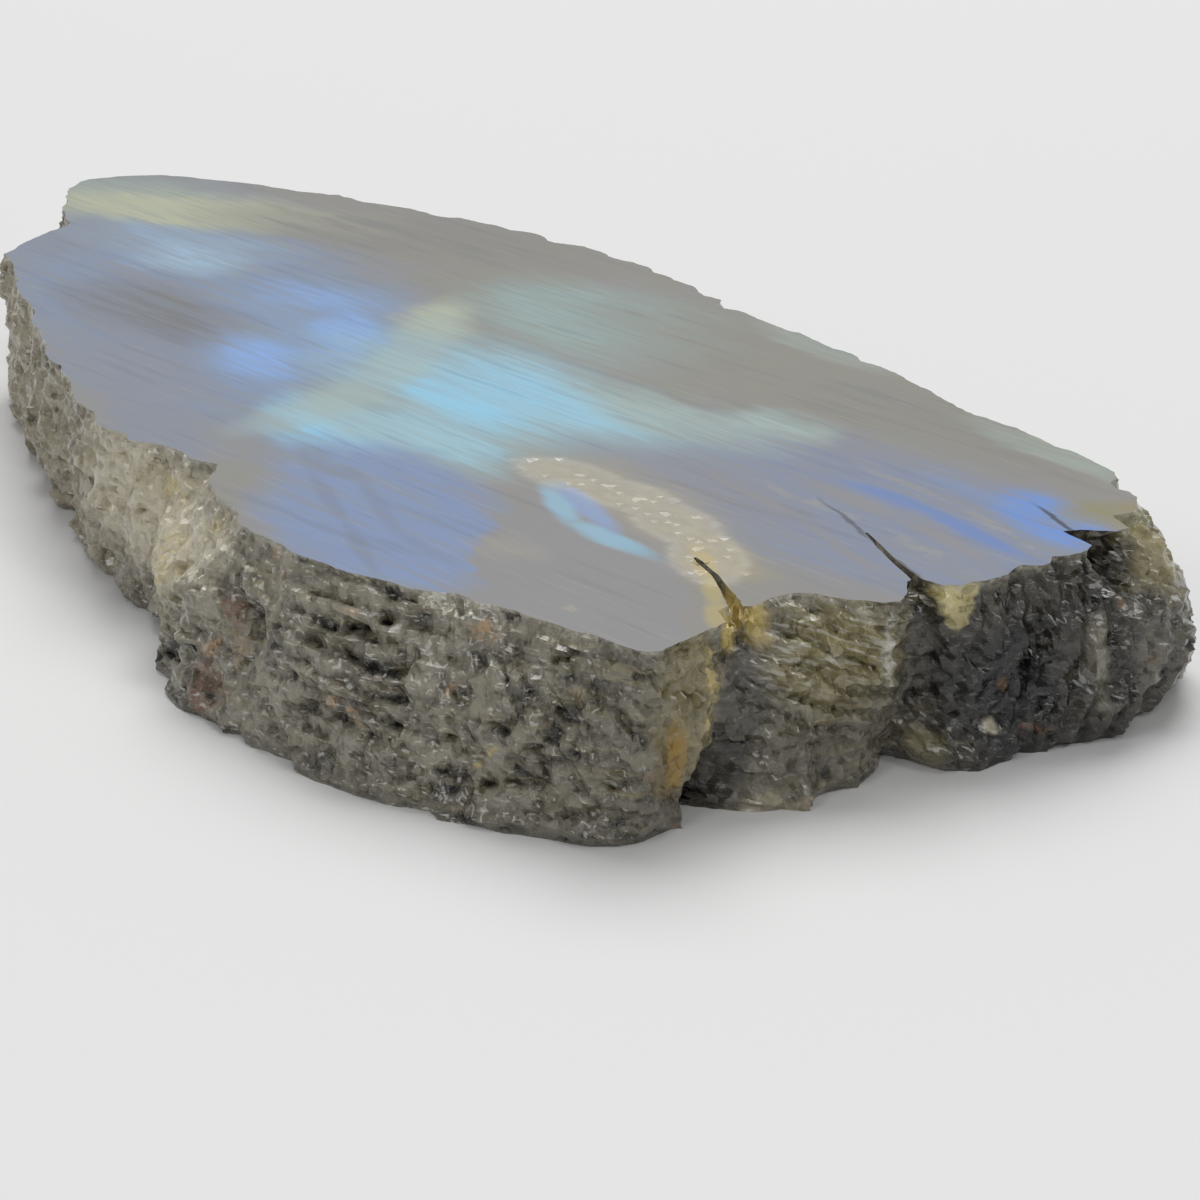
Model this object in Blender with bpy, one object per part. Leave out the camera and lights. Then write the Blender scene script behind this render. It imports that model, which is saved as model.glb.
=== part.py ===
"""A slice of labradorite: one stone, sawn flat on both faces, with its broken natural rim left rough.

+X runs along the slice to its blunt, lobed end and +Z points out of the polished face. The origin is
on the sawn underside, below the middle of the slice. Sizes are written in millimetres times MM.
"""

import math
import random
from typing import NamedTuple

import bmesh
import bpy
from mathutils import Vector, noise

MM = 0.001

# Driving dimensions
THICKNESS = 14.0 * MM
RIM_STEP = 1.08 * MM  # spacing of the points round the rim
BELLY_LEVEL = 0.38  # height of the widest part of the rim, as a share of the thickness
FOOT_ROUNDING = 0.5 * MM  # how far the lowest edge is worn back
ROW_LEVELS = (0.0, 0.05, 0.14, 0.24, 0.34, 0.44, 0.54, 0.64, 0.74, 0.84, 0.93, 1.0)

# Roughness of the broken rim
LUMP_SIZE = 9.0 * MM
LUMP_HEIGHT = 1.0 * MM
LUMP_FRACTAL = (0.8, 2.1, 3)  # fall-off, step in size and number of the lumps' own smaller lumps
FACET_SIZE = 4.2 * MM
FACET_HEIGHT = 0.55 * MM
FACET_TILT = 2.2
FACET_OFFSET = 1.2
CELL_SPREAD = 3.7  # keeps the tilts of neighbouring cells unlike each other
ROW_WANDER = 0.25 * MM
WANDER_SIZE = 3.0 * MM
GROOVE_SHARPNESS = 1.2
EDGE_CALM = 0.45  # share of that roughness left at the polished face
SMOOTHING_SPAN = 4  # rim points on each side that share their outward direction

# Colour and finish
STONE_COLOUR = (0.055, 0.055, 0.048, 1.0)
STONE_ROUGHNESS = 0.32


class Station(NamedTuple):
    """A point of the polished face's edge, and how far the rim below stands out from it, in millimetres."""

    x: float
    y: float
    belly: float
    foot: float


class Groove(NamedTuple):
    """A crevice down the rim, in millimetres. At the polished face it keeps edge_share of its depth."""

    top: tuple
    foot: tuple
    half_width: float
    depth: float
    edge_share: float = 1.0


class Knob(NamedTuple):
    """A round lump on the rim, or a pit where its height is negative, in millimetres."""

    centre: tuple
    radius: float
    height: float


class Ledges(NamedTuple):
    """A patch of cleavage steps. They run along the rim, and drop by slant for each millimetre of it."""

    centre: tuple
    radius: float
    period: float
    height: float
    slant: float


class Fissure(NamedTuple):
    """A crack in the polished face: its course, and its width and depth at the rim, in millimetres."""

    course: tuple
    width: float
    depth: float


# The edge of the polished face, counter-clockwise from the sharp front corner
RIM_STATIONS = (
    # the blunt end: corner lobe, middle lobe and the wide lobe
    Station(66.4, -20.2, 0.7, 0.5),
    Station(66.5, -17.6, 0.4, 0.1),
    Station(65.4, -13.4, 1.2, 1.6),
    Station(64.0, -9.2, 3.4, 5.6),
    Station(63.5, -5.4, 4.6, 6.2),
    Station(66.3, -2.8, 2.4, 2.6),
    Station(68.8, -0.2, 0.4, -0.9),
    Station(69.2, 4.0, 0.8, 1.6),
    Station(69.8, 8.4, 0.9, 1.6),
    Station(69.7, 13.4, 2.2, 2.7),
    Station(69.0, 18.4, 3.4, 3.3),
    Station(67.6, 23.0, 4.8, 3.4),
    Station(63.6, 27.2, 4.6, 4.2),
    # the long side away from the corner lobe
    Station(58.0, 30.6, 2.6, 3.2),
    Station(49.6, 31.4, 1.6, 1.8),
    Station(39.0, 31.6, 1.2, 0.6),
    Station(27.6, 33.4, 2.0, 1.2),
    Station(15.0, 33.4, 2.4, 2.2),
    Station(0.6, 34.4, 1.6, 2.0),
    Station(-11.4, 35.6, 1.2, 0.8),
    Station(-22.0, 34.2, 2.2, 1.2),
    Station(-36.0, 30.2, 2.4, 2.4),
    Station(-52.0, 24.6, 1.4, 1.8),
    Station(-63.6, 18.2, 1.2, 0.6),
    # the narrow end, with a bite out of it
    Station(-71.4, 11.4, 1.2, 1.0),
    Station(-71.8, 5.6, 1.0, 1.2),
    Station(-66.0, 0.8, 0.6, 1.0),
    Station(-57.6, -3.6, 0.6, 0.4),
    Station(-53.6, -8.2, 0.8, 0.4),
    Station(-49.6, -12.6, 0.8, 0.6),
    # the long side that ends in the corner lobe
    Station(-40.0, -16.6, 0.8, 0.4),
    Station(-29.4, -20.2, 1.0, 0.2),
    Station(-19.6, -23.4, 0.8, 0.0),
    Station(-9.8, -25.8, 0.6, 0.2),
    Station(-1.0, -28.0, 0.5, 0.6),
    Station(6.8, -28.4, 0.6, 1.2),
    Station(13.0, -26.6, 3.2, 4.2),
    Station(20.8, -28.2, 4.4, 5.4),
    Station(29.4, -30.4, 4.0, 5.6),
    Station(38.0, -30.0, 3.4, 5.4),
    Station(46.6, -27.2, 4.4, 6.4),
    Station(55.0, -22.9, 4.4, 7.0),
    Station(61.4, -21.2, 2.8, 4.8),
)

# The crevices, lumps and steps of the blunt end and of the lobe beside it
GROOVES = (
    Groove(top=(63.6, -11.2), foot=(66.6, -15.0), half_width=1.9, depth=3.6),
    Groove(top=(69.2, 2.4), foot=(67.4, 0.4), half_width=2.1, depth=4.2),
    Groove(top=(70.0, 4.4), foot=(69.4, 2.6), half_width=3.4, depth=4.0, edge_share=0.1),
    Groove(top=(69.5, 11.0), foot=(72.2, 10.6), half_width=1.6, depth=1.5),
    Groove(top=(69.3, 14.6), foot=(72.4, 13.8), half_width=1.5, depth=1.4),
    Groove(top=(68.6, 19.8), foot=(71.8, 20.6), half_width=1.6, depth=1.8),
    Groove(top=(66.4, 24.6), foot=(70.6, 24.2), half_width=1.7, depth=2.0),
    Groove(top=(60.6, 29.4), foot=(62.6, 32.2), half_width=2.4, depth=1.7),
    Groove(top=(16.6, -27.0), foot=(17.6, -32.6), half_width=2.6, depth=1.5),
    Groove(top=(50.6, -25.0), foot=(53.0, -30.0), half_width=1.8, depth=0.6),
)
KNOBS = (
    Knob(centre=(67.2, -13.4, 1.6), radius=2.6, height=-3.0),  # hollow under the middle lobe
    Knob(centre=(69.8, -7.4, 5.2), radius=3.6, height=0.9),  # belly of the middle lobe
    Knob(centre=(70.0, 4.8, 12.6), radius=1.9, height=1.0),  # pale chip above the recess
    Knob(centre=(69.4, -0.4, 3.0), radius=2.6, height=-1.8),  # the middle lobe draws in at its foot
    Knob(centre=(71.0, 2.9, 1.8), radius=2.3, height=4.0),  # small lump at the foot
    Knob(centre=(71.2, 8.6, 9.0), radius=2.6, height=0.8),
    Knob(centre=(72.2, 7.4, 3.8), radius=2.2, height=-0.9),
    Knob(centre=(72.4, 12.6, 3.4), radius=3.0, height=0.9),
    Knob(centre=(71.8, 17.6, 7.4), radius=2.6, height=1.1),  # upright ridge
    Knob(centre=(72.0, 17.4, 3.6), radius=2.4, height=1.0),
    Knob(centre=(69.2, 20.4, 12.0), radius=2.9, height=-5.0),  # deep pit at the polished edge
    Knob(centre=(71.6, 22.6, 5.2), radius=2.8, height=0.8),
    Knob(centre=(34.0, -34.6, 7.4), radius=3.6, height=-1.0),
    Knob(centre=(27.0, -34.4, 8.4), radius=3.4, height=0.8),
    Knob(centre=(57.6, -27.0, 6.0), radius=3.0, height=0.6),
    Knob(centre=(60.8, -25.0, 3.4), radius=1.8, height=-0.7),
)
LEDGES = (
    Ledges(centre=(44.0, -30.6, 10.4), radius=8.0, period=1.9, height=0.9, slant=0.04),
    Ledges(centre=(67.6, -5.4, 10.6), radius=5.4, period=2.1, height=1.2, slant=0.42),
    Ledges(centre=(70.2, 8.8, 11.0), radius=3.6, period=2.4, height=0.7, slant=-0.5),
)
FISSURES = (
    Fissure(course=((65.0, -11.9), (61.4, -10.3), (57.8, -8.8), (54.2, -7.9)), width=1.0, depth=1.9),
    Fissure(course=((70.6, 1.9), (66.8, 2.3), (62.6, 3.5), (57.4, 5.4)), width=0.9, depth=1.8),
)

# The crevices and lumps of the rest of the rim are scattered by rule
SCATTER_SEED = 11
SCATTER_STRIDES = (2, 8)  # rim points from one scattered crevice to the next
SCATTER_CLEAR_X = 38.0 * MM  # beyond this, the rim is placed by hand
SCATTER_GROOVE_WIDTHS = (1.6, 3.2)
SCATTER_GROOVE_DEPTHS = (0.7, 2.0)
SCATTER_KNOB_RADII = (2.2, 4.2)
SCATTER_KNOB_HEIGHTS = (-1.5, 1.3)
SCATTER_LEAN = 3.0  # how far along the rim a crevice drifts on its way down
SCATTER_AT_EDGE = 0.35  # share of a scattered crevice's depth that is left at the polished face
SCATTER_JITTER = 1.5
SCATTER_EDGE_GAP = 2.0
SCATTER_KNOB_OFFSETS = (1.5, 3.5)
LEDGE_SHARE = 0.25  # of the scattered places, how many also carry cleavage steps
SCATTER_LEDGE_RADII = (5.0, 8.0)
SCATTER_LEDGE_PERIOD = 2.2
SCATTER_LEDGE_HEIGHT = 0.8
SCATTER_LEDGE_SLANT = 0.3

# The cracks in the polished face
FISSURE_TAPER = 0.85  # share of its width and depth that a crack loses by its far end
BLADE_OVERSHOOT = 1.0 * MM


class RimPoint(NamedTuple):
    """A point of the smooth edge with its outward direction, and the rim's stand-out below it, in metres."""

    edge: Vector
    outward: Vector
    belly: float
    foot: float


def clear_scene():
    for obj in list(bpy.data.objects):
        bpy.data.objects.remove(obj, do_unlink=True)


def catmull_rom(before, start, end, after, t):
    """The value at t between start and end, on the curve through all four."""
    return 0.5 * (
        2 * start
        + (end - before) * t
        + (2 * before - 5 * start + 4 * end - after) * t * t
        + (3 * start - before - 3 * end + after) * t**3
    )


def rim_samples():
    """(x, y, belly, foot) in metres, evenly along the curve through the stations."""
    count = len(RIM_STATIONS)
    samples = []
    for i in range(count):
        four = [RIM_STATIONS[(i + k) % count] for k in (-1, 0, 1, 2)]
        span = math.dist(four[1][:2], four[2][:2]) * MM
        steps = max(1, round(span / RIM_STEP))
        for step in range(steps):
            samples.append([catmull_rom(*column, step / steps) * MM for column in zip(*four)])
    return samples


def rim_points():
    """The edge of the polished face as RimPoints, with the outward directions evened out round corners."""
    samples = rim_samples()
    count = len(samples)
    edges = [Vector((x, y, 0.0)) for x, y, _, _ in samples]
    straight = []
    for i in range(count):
        along = edges[(i + 1) % count] - edges[i - 1]
        straight.append(Vector((along.y, -along.x, 0.0)).normalized())
    points = []
    for i, (_, _, belly, foot) in enumerate(samples):
        near = range(i - SMOOTHING_SPAN, i + SMOOTHING_SPAN + 1)
        outward = sum((straight[k % count] for k in near), Vector()).normalized()
        points.append(RimPoint(edges[i], outward, belly, foot))
    return points


def scattered_relief(points):
    """Grooves, knobs and ledges for the part of the rim that isn't placed by hand."""
    rng = random.Random(SCATTER_SEED)
    grooves, knobs, ledges = [], [], []
    number = 0
    while number < len(points):
        point = points[number]
        number += rng.randint(*SCATTER_STRIDES)
        if point.edge.x > SCATTER_CLEAR_X:
            continue
        side = Vector((-point.outward.y, point.outward.x, 0.0))
        top = point.edge / MM + side * rng.uniform(-SCATTER_JITTER, SCATTER_JITTER)
        foot = top + side * rng.uniform(-SCATTER_LEAN, SCATTER_LEAN) + point.outward * point.foot / MM
        middle = top + point.outward * point.belly / MM
        middle.z = rng.uniform(SCATTER_EDGE_GAP, THICKNESS / MM - SCATTER_EDGE_GAP)
        grooves.append(
            Groove(
                top.xy[:],
                foot.xy[:],
                rng.uniform(*SCATTER_GROOVE_WIDTHS),
                rng.uniform(*SCATTER_GROOVE_DEPTHS),
                SCATTER_AT_EDGE,
            )
        )
        knobs.append(
            Knob(
                (middle + side * rng.uniform(*SCATTER_KNOB_OFFSETS))[:],
                rng.uniform(*SCATTER_KNOB_RADII),
                rng.uniform(*SCATTER_KNOB_HEIGHTS),
            )
        )
        if rng.random() < LEDGE_SHARE:
            ledges.append(
                Ledges(
                    middle[:],
                    rng.uniform(*SCATTER_LEDGE_RADII),
                    SCATTER_LEDGE_PERIOD,
                    SCATTER_LEDGE_HEIGHT,
                    rng.uniform(-SCATTER_LEDGE_SLANT, SCATTER_LEDGE_SLANT),
                )
            )
    return grooves, knobs, ledges


def groove_relief(groove, place, level):
    """How far the crevice sets the rim back at a place, as a negative distance."""
    centre = Vector(groove.foot).lerp(Vector(groove.top), level) * MM
    share = 1.0 - (place.xy - centre).length / (groove.half_width * MM)
    kept = 1.0 + (groove.edge_share - 1.0) * level**2
    return -groove.depth * MM * kept * max(0.0, share) ** GROOVE_SHARPNESS


def knob_relief(knob, place):
    share = (place - Vector(knob.centre) * MM).length / (knob.radius * MM)
    return knob.height * MM * max(0.0, 1.0 - share * share)


def ledge_relief(ledge, place, side):
    """A saw tooth across the steps, which fades out towards the edge of the patch."""
    offset = place - Vector(ledge.centre) * MM
    fade = max(0.0, 1.0 - (offset.length / (ledge.radius * MM)) ** 2)
    across = (offset.z + ledge.slant * offset.dot(side)) / (ledge.period * MM)
    return ledge.height * MM * fade * (across % 1.0 - 0.5)


def facet_relief(place):
    """Broken faces: each cell of the stone has its own tilted plane."""
    cell = noise.voronoi(place / FACET_SIZE)[1][0]
    tilt = noise.noise_vector(cell * CELL_SPREAD)
    return FACET_HEIGHT * (FACET_TILT * tilt.dot(place / FACET_SIZE - cell) + FACET_OFFSET * tilt.x)


def rim_place(point, level, relief):
    """Where the rim is below a point of the edge, at a share of the thickness."""
    grooves, knobs, ledges = relief
    if level < BELLY_LEVEL:
        stand_out = point.foot + (point.belly - point.foot) * math.sin(level / BELLY_LEVEL * math.pi / 2)
    else:
        stand_out = point.belly * math.cos((level - BELLY_LEVEL) / (1.0 - BELLY_LEVEL) * math.pi / 2)
    side = Vector((-point.outward.y, point.outward.x, 0.0))
    place = point.edge + point.outward * stand_out
    place.z = level * THICKNESS
    out = sum(groove_relief(groove, place, level) for groove in grooves)
    out += sum(knob_relief(knob, place) for knob in knobs)
    out += sum(ledge_relief(ledge, place, side) for ledge in ledges)
    roughness = LUMP_HEIGHT * noise.fractal(place / LUMP_SIZE, *LUMP_FRACTAL) + facet_relief(place)
    out += roughness * (1.0 + (EDGE_CALM - 1.0) * level**3)
    if level == 0.0:
        out -= FOOT_ROUNDING
    place += point.outward * out
    if 0.0 < level < 1.0:
        place.z += ROW_WANDER * noise.noise(place / WANDER_SIZE)
    return place


def add_ring(mesh, places):
    """A closed loop of edges through the places."""
    verts = [mesh.verts.new(place) for place in places]
    return [mesh.edges.new((verts[i - 1], verts[i])) for i in range(len(verts))]


def make_stone_mesh():
    """Rings of the rim bridged from the underside up, closed by the two flat faces."""
    points = rim_points()
    grooves, knobs, ledges = scattered_relief(points)
    relief = (GROOVES + tuple(grooves), KNOBS + tuple(knobs), LEDGES + tuple(ledges))
    stone = bmesh.new()
    below = None
    for level in ROW_LEVELS:
        ring = add_ring(stone, [rim_place(point, level, relief) for point in points])
        if below is None:
            bmesh.ops.edgeloop_fill(stone, edges=ring)
        else:
            bmesh.ops.bridge_loops(stone, edges=below + ring)
        below = ring
    bmesh.ops.edgeloop_fill(stone, edges=below)
    bmesh.ops.recalc_face_normals(stone, faces=stone.faces)
    return stone


def centre_on_origin(stone):
    """Shifts the stone so that the middle of its plan is over the origin."""
    for axis in (0, 1):
        values = [vert.co[axis] for vert in stone.verts]
        shift = Vector()
        shift[axis] = -(min(values) + max(values)) / 2
        bmesh.ops.translate(stone, vec=shift, verts=stone.verts)


def finish_mesh(mesh, name):
    """Turns a bmesh into an object's mesh and frees it."""
    data = bpy.data.meshes.new(name)
    mesh.to_mesh(data)
    mesh.free()
    return data


def stone_material():
    material = bpy.data.materials.new("labradorite")
    material.use_nodes = True
    shader = material.node_tree.nodes["Principled BSDF"]
    shader.inputs["Base Color"].default_value = STONE_COLOUR
    shader.inputs["Roughness"].default_value = STONE_ROUGHNESS
    shader.inputs["Metallic"].default_value = 0.0
    return material


def add_object(name, data):
    obj = bpy.data.objects.new(name, data)
    bpy.context.scene.collection.objects.link(obj)
    return obj


def make_fissure_cutter(fissure, name):
    """A V-shaped blade along the course, widest and deepest at the rim, with its point inside the stone."""
    blade = bmesh.new()
    course = [Vector((x, y, 0.0)) * MM for x, y in fissure.course]
    last = len(course) - 1
    sections = []
    for i, place in enumerate(course):
        along = (course[min(i + 1, last)] - course[max(i - 1, 0)]).normalized()
        side = Vector((-along.y, along.x, 0.0))
        share = 1.0 - FISSURE_TAPER * i / last
        half = side * fissure.width * MM * share / 2
        flare = 1.0 + BLADE_OVERSHOOT / (fissure.depth * MM * share)
        top = Vector((0.0, 0.0, THICKNESS + BLADE_OVERSHOOT))
        bottom = Vector((0.0, 0.0, THICKNESS - fissure.depth * MM * share))
        corners = (place + half * flare + top, place - half * flare + top, place + bottom)
        sections.append([blade.verts.new(corner) for corner in corners])
    for near, far in zip(sections, sections[1:]):
        for k in range(3):
            blade.faces.new((near[k - 1], near[k], far[k], far[k - 1]))
    blade.faces.new(sections[0])
    blade.faces.new(sections[-1])
    bmesh.ops.recalc_face_normals(blade, faces=blade.faces)
    cutter = add_object(name, finish_mesh(blade, name))
    cutter.hide_render = True
    cutter.display_type = "WIRE"
    return cutter


def main():
    clear_scene()
    stone = make_stone_mesh()
    centre_on_origin(stone)
    slice_object = add_object("labradorite_slice", finish_mesh(stone, "labradorite_slice"))
    slice_object.data.materials.append(stone_material())
    for number, fissure in enumerate(FISSURES, start=1):
        cut = slice_object.modifiers.new(f"fissure {number}", "BOOLEAN")
        cut.operation = "DIFFERENCE"
        cut.object = make_fissure_cutter(fissure, f"fissure_cutter_{number}")


main()
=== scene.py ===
"""Looks for a slice of labradorite: the polished stone, its floor, light and camera."""

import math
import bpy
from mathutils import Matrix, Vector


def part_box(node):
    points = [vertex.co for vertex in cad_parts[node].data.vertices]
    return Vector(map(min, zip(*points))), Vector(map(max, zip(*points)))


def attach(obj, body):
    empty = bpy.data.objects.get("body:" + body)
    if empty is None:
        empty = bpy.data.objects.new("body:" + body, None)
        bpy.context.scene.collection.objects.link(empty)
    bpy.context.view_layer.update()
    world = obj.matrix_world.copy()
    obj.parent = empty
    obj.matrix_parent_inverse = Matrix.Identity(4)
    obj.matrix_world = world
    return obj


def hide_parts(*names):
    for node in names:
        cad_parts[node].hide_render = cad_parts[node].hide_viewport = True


bl_info = {
    "name": "Labradorite Slice",
    "version": (1, 0, 0),
    "blender": (4, 5, 0),
    "location": "3D View > Sidebar > Stone Slice",
    "description": "Dresses the packed labradorite slice and sets the stage for it",
    "category": "Object",
}

from typing import NamedTuple

import bmesh
import bpy
from bpy.props import FloatProperty, FloatVectorProperty, IntProperty, PointerProperty
from mathutils import Vector, noise

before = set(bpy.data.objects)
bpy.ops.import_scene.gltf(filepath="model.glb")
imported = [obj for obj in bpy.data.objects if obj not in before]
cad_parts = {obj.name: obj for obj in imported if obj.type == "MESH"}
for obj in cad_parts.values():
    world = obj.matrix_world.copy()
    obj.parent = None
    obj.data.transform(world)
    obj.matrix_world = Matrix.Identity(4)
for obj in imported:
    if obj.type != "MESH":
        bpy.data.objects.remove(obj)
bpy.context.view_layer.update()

NODE = "labradorite_slice"
# The rim's depth in the relief is kept on the mesh under this name; the rim's material paints shade into the
# deepest parts from it
HOLLOW = "hollow"
BODY = "root"
MM = 0.001

# The finishes in the order of their material slots, and how level a pit's wall and the sawn face are
BROKEN, POLISHED, SAWN = range(3)
PIT_TILT = 0.55
SAWN_TILT = 0.99
# How far below the deepest pit, and above the ground, a level face still has that finish, in millimetres
PIT_SLACK = 0.05
SAWN_SLACK = 0.01

STONE_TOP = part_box(NODE)[1][2] / MM
MERGE_DISTANCE = 1.0e-6
FLAT_LIMIT = 0.9999
SHARP_ANGLE = math.radians(32.0)
LEVEL_SLACK = 1.0e-6

# The stripes of the mineral run nearly along the slice
STRIPE_TURN = math.radians(7.0)

# How strongly the stripes break up a patch: its least share, and the swing above that
STRIPE_LOW = 0.62
STRIPE_SWING = 0.8

# How strongly the stone bends light
REFRACTION = 1.56

# The studio's white is reflected by the polish as a thin veil over every colour
POLISH_VEIL = 0.042
POLISH_GAIN = 0.98
RIM_VEIL = 0.022
RIM_GAIN = 0.8


def linear(level):
    """One channel of an eight bit colour as an amount of light."""
    share = level / 255.0
    if share <= 0.04045:
        return share / 12.92
    return ((share + 0.055) / 1.055) ** 2.4


def under_veil(red, green, blue, veil, gain):
    """The paint that is seen as this colour once the veil of reflected light lies over it."""
    return tuple(max(0.004, (linear(level) - veil) / gain) for level in (red, green, blue))


def colour_property(name, description, default):
    """A colour that the user may change."""
    return FloatVectorProperty(
        name=name, description=description, default=default, subtype="COLOR", size=3, min=0.0, max=1.0
    )


def polished(name, description, *levels):
    """A colour of the polished face, given in eight bit levels as it is seen."""
    return colour_property(name, description, under_veil(*levels, POLISH_VEIL, POLISH_GAIN))


def broken(name, description, *levels):
    """A colour of the broken rim, given in the same way."""
    return colour_property(name, description, under_veil(*levels, RIM_VEIL, RIM_GAIN))


def length_property(name, description, default, low=0.0):
    """A length that the user may change."""
    return FloatProperty(
        name=name, description=description, default=default, min=low, subtype="DISTANCE", unit="LENGTH"
    )


class Zone(NamedTuple):
    """A soft oval of colour on the polished face, in millimetres and degrees from the long side."""

    x: float
    y: float
    half_length: float
    half_width: float
    turn: float
    colour: str
    strength: float = 0.9
    soft: float = 0.5


class Spot(NamedTuple):
    """A patch on the broken rim: centre and half widths in millimetres. A loose one has a ragged edge."""

    centre: tuple
    half: tuple
    colour: str
    strength: float = 0.9
    soft: float = 0.4
    loose: bool = True


class Line(NamedTuple):
    """A thin vein or crack: its course and half width in millimetres."""

    course: tuple
    width: float
    colour: str
    strength: float = 0.8


class Steps(NamedTuple):
    """Cleavage steps on the rim: where they are, how far apart, how deep, and their slant."""

    centre: tuple
    radius: float
    period: float
    depth: float
    slant: float


class Bubbles(NamedTuple):
    """A patch of bubbly pits on the rim, in millimetres."""

    centre: tuple
    radius: float
    size: float
    depth: float


class Calm(NamedTuple):
    """A patch of the rim that broke smoothly, in millimetres, and how much smoother it is."""

    centre: tuple
    radius: float
    share: float


ZONES = [
    # broad washes
    Zone(-28, -5, 46, 17, -14, "slate_blue", 0.85, 0.4),
    Zone(54, 9, 24, 12, 4, "lilac_blue", 0.85, 0.4),
    Zone(17, 0, 20, 11, 0, "grey_teal", 0.7, 0.6),
    # the tip
    Zone(-64, 5, 9, 8, 40, "tip_green", 0.85),
    Zone(-53, 9.5, 17, 6, 38, "pale_green", 1),
    Zone(-46, 1.5, 12, 4, 32, "sky", 0.45, 0.7),
    Zone(-37.5, -0.3, 6, 3.6, 15, "sky", 0.85, 0.7),
    Zone(-54, -6, 8, 5, -30, "violet_grey", 0.6),
    Zone(-24, -11.5, 11, 5.5, -4, "dark_grey", 0.8, 0.6),
    Zone(-10, -20, 10, 5, -12, "violet_grey", 0.7, 0.6),
    # the blue arc
    Zone(-16, 2.5, 10, 6.5, 8, "mid_blue", 0.8, 0.6),
    Zone(-19, 3.4, 6.5, 2.6, 12, "bright_blue", 0.45, 0.7),
    Zone(-7.6, -1.4, 5.6, 2.6, -38, "bright_blue", 1.05, 0.7),
    Zone(-4, -8.5, 9, 6, -30, "mid_blue", 0.8, 0.6),
    Zone(-5.1, -10.1, 5.4, 3.2, -20, "bright_blue", 0.85, 0.7),
    Zone(-6.6, 8.2, 6, 3.2, -42, "pale_green", 0.85, 0.7),
    # the middle
    Zone(2, 20.4, 14, 8.5, 6, "soft_teal", 0.85),
    Zone(13, 1.6, 17, 8, 4, "teal", 1, 0.6),
    Zone(14.5, 4.2, 9.5, 3.2, 6, "cyan", 0.75, 0.7),
    Zone(13.8, -2.6, 6.5, 3.2, -6, "cyan", 1, 0.7),
    Zone(14.6, -14.8, 6.8, 3.6, -8, "cyan", 0.95, 0.7),
    Zone(13, -10.4, 8, 3.6, -8, "green_cream", 0.6, 0.6),
    Zone(21, -9.4, 9, 4, -6, "teal", 0.9, 0.6),
    Zone(27.5, 9.6, 10, 3.6, 8, "green_cream", 0.7, 0.6),
    Zone(33.1, 15.8, 5, 2.6, 12, "green_cream", 0.85, 0.6),
    Zone(6, -26, 8, 3.6, -6, "violet_grey", 0.9),
    # the far side
    Zone(-34, 21, 20, 7, 28, "far_taupe", 0.8),
    Zone(26, 25.5, 24, 8, 3, "far_brown", 0.85),
    Zone(44, 27, 12, 5, 0, "far_taupe", 0.6),
    # the near edge and the corner
    Zone(33, -22, 17, 8, -18, "periwinkle", 1, 0.3),
    Zone(52.5, -16.8, 18.5, 7.2, -32, "plain_mauve", 1.6, 0.12),
    Zone(44.3, -17.7, 2.6, 1.6, 0, "cream", 0.35, 0.7),
    Zone(56.1, -21, 0.7, 0.6, 0, "cream", 0.6),
    Zone(40, 1.4, 13, 4.2, 6, "lilac", 0.8),
    Zone(42.5, -4.6, 13.5, 4, -4, "vein_tan", 0.6),
    Zone(55, -6, 5, 2.6, -20, "gold", 0.4, 0.6),
    # the blunt end
    Zone(62.6, 18.6, 6, 3.2, -12, "vivid_blue", 1.1, 0.6),
    Zone(66.5, 24.5, 6.5, 2.8, 55, "olive", 0.9),
    Zone(19, 32.2, 8, 1.6, 0, "tip_green", 0.6),
    Zone(51.4, 29.4, 9, 1.6, 0, "tip_green", 0.7),
]

VEINS = [
    Line(((-7.1, 9), (0.4, 1.7), (6, -5.6), (8.9, -11.8), (10.2, -18.9)), 3.2, "green_cream", 0.5),
    Line(((22.8, -21.5), (33.1, -24.6), (43.5, -28.2)), 0.7, "dark_grey", 0.3),
    Line(((26, -19), (38.1, -22.9), (45.1, -22.5)), 0.7, "dark_grey", 0.26),
    Line(((17, -18.6), (21.4, -19.9), (25, -19)), 1.3, "dark_grey", 0.28),
    Line(((36, -8.4), (43, -11), (51.6, -10.4)), 1.1, "cyan", 0.55),
    Line(((36.5, -7.2), (46, -9.4)), 1.1, "bright_blue", 0.5),
    Line(((43.9, 5.8), (56, 7), (67.5, 6.4)), 0.8, "cream", 0.32),
    Line(((46, 8.6), (56, 9.6), (67, 9)), 0.9, "plain_mauve", 0.7),
    Line(((46.5, 14.6), (57, 14.9), (68.4, 12.9)), 0.55, "cream", 0.28),
    Line(((48, 11.4), (57, 12.4)), 1, "deep_blue", 0.6),
    Line(((57, 12.2), (67, 11.6)), 1, "deep_blue", 0.75),
    Line(((50, 17.4), (59, 17.8)), 1.2, "periwinkle", 0.6),
    Line(((39.3, 3.9), (52, 3.4), (64, 0.8)), 0.6, "plain_mauve", 0.6),
    Line(((50, 7.2), (59.4, 4.6), (67.4, 2.4)), 0.22, "crack", 0.55),
    Line(((60.1, 19.6), (66.7, 18)), 0.24, "crack"),
    Line(((53, -6.8), (58, -9.4), (62, -11.8), (65.4, -14.2)), 0.9, "gold"),
]

# The pitted vein in the polished face, as real pits
PIT_COURSE = ((31.2, -5.9), (37.7, -4.7), (43.5, -4.1), (51.6, -5.5), (57.6, -8.7))
PIT_REACH = 3.4
PIT_DEPTH = 0.14
PIT_SIZE = 1.4
PIT_GRID_X = (26.5, 62.0)
PIT_GRID_Y = (-13.0, 0.0)
PIT_GRID_STEP = 0.5
# The pits' radius in sizes, and how flat their floors are
PIT_RADIUS = 0.6
PIT_FLOOR = 1.6

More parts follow.
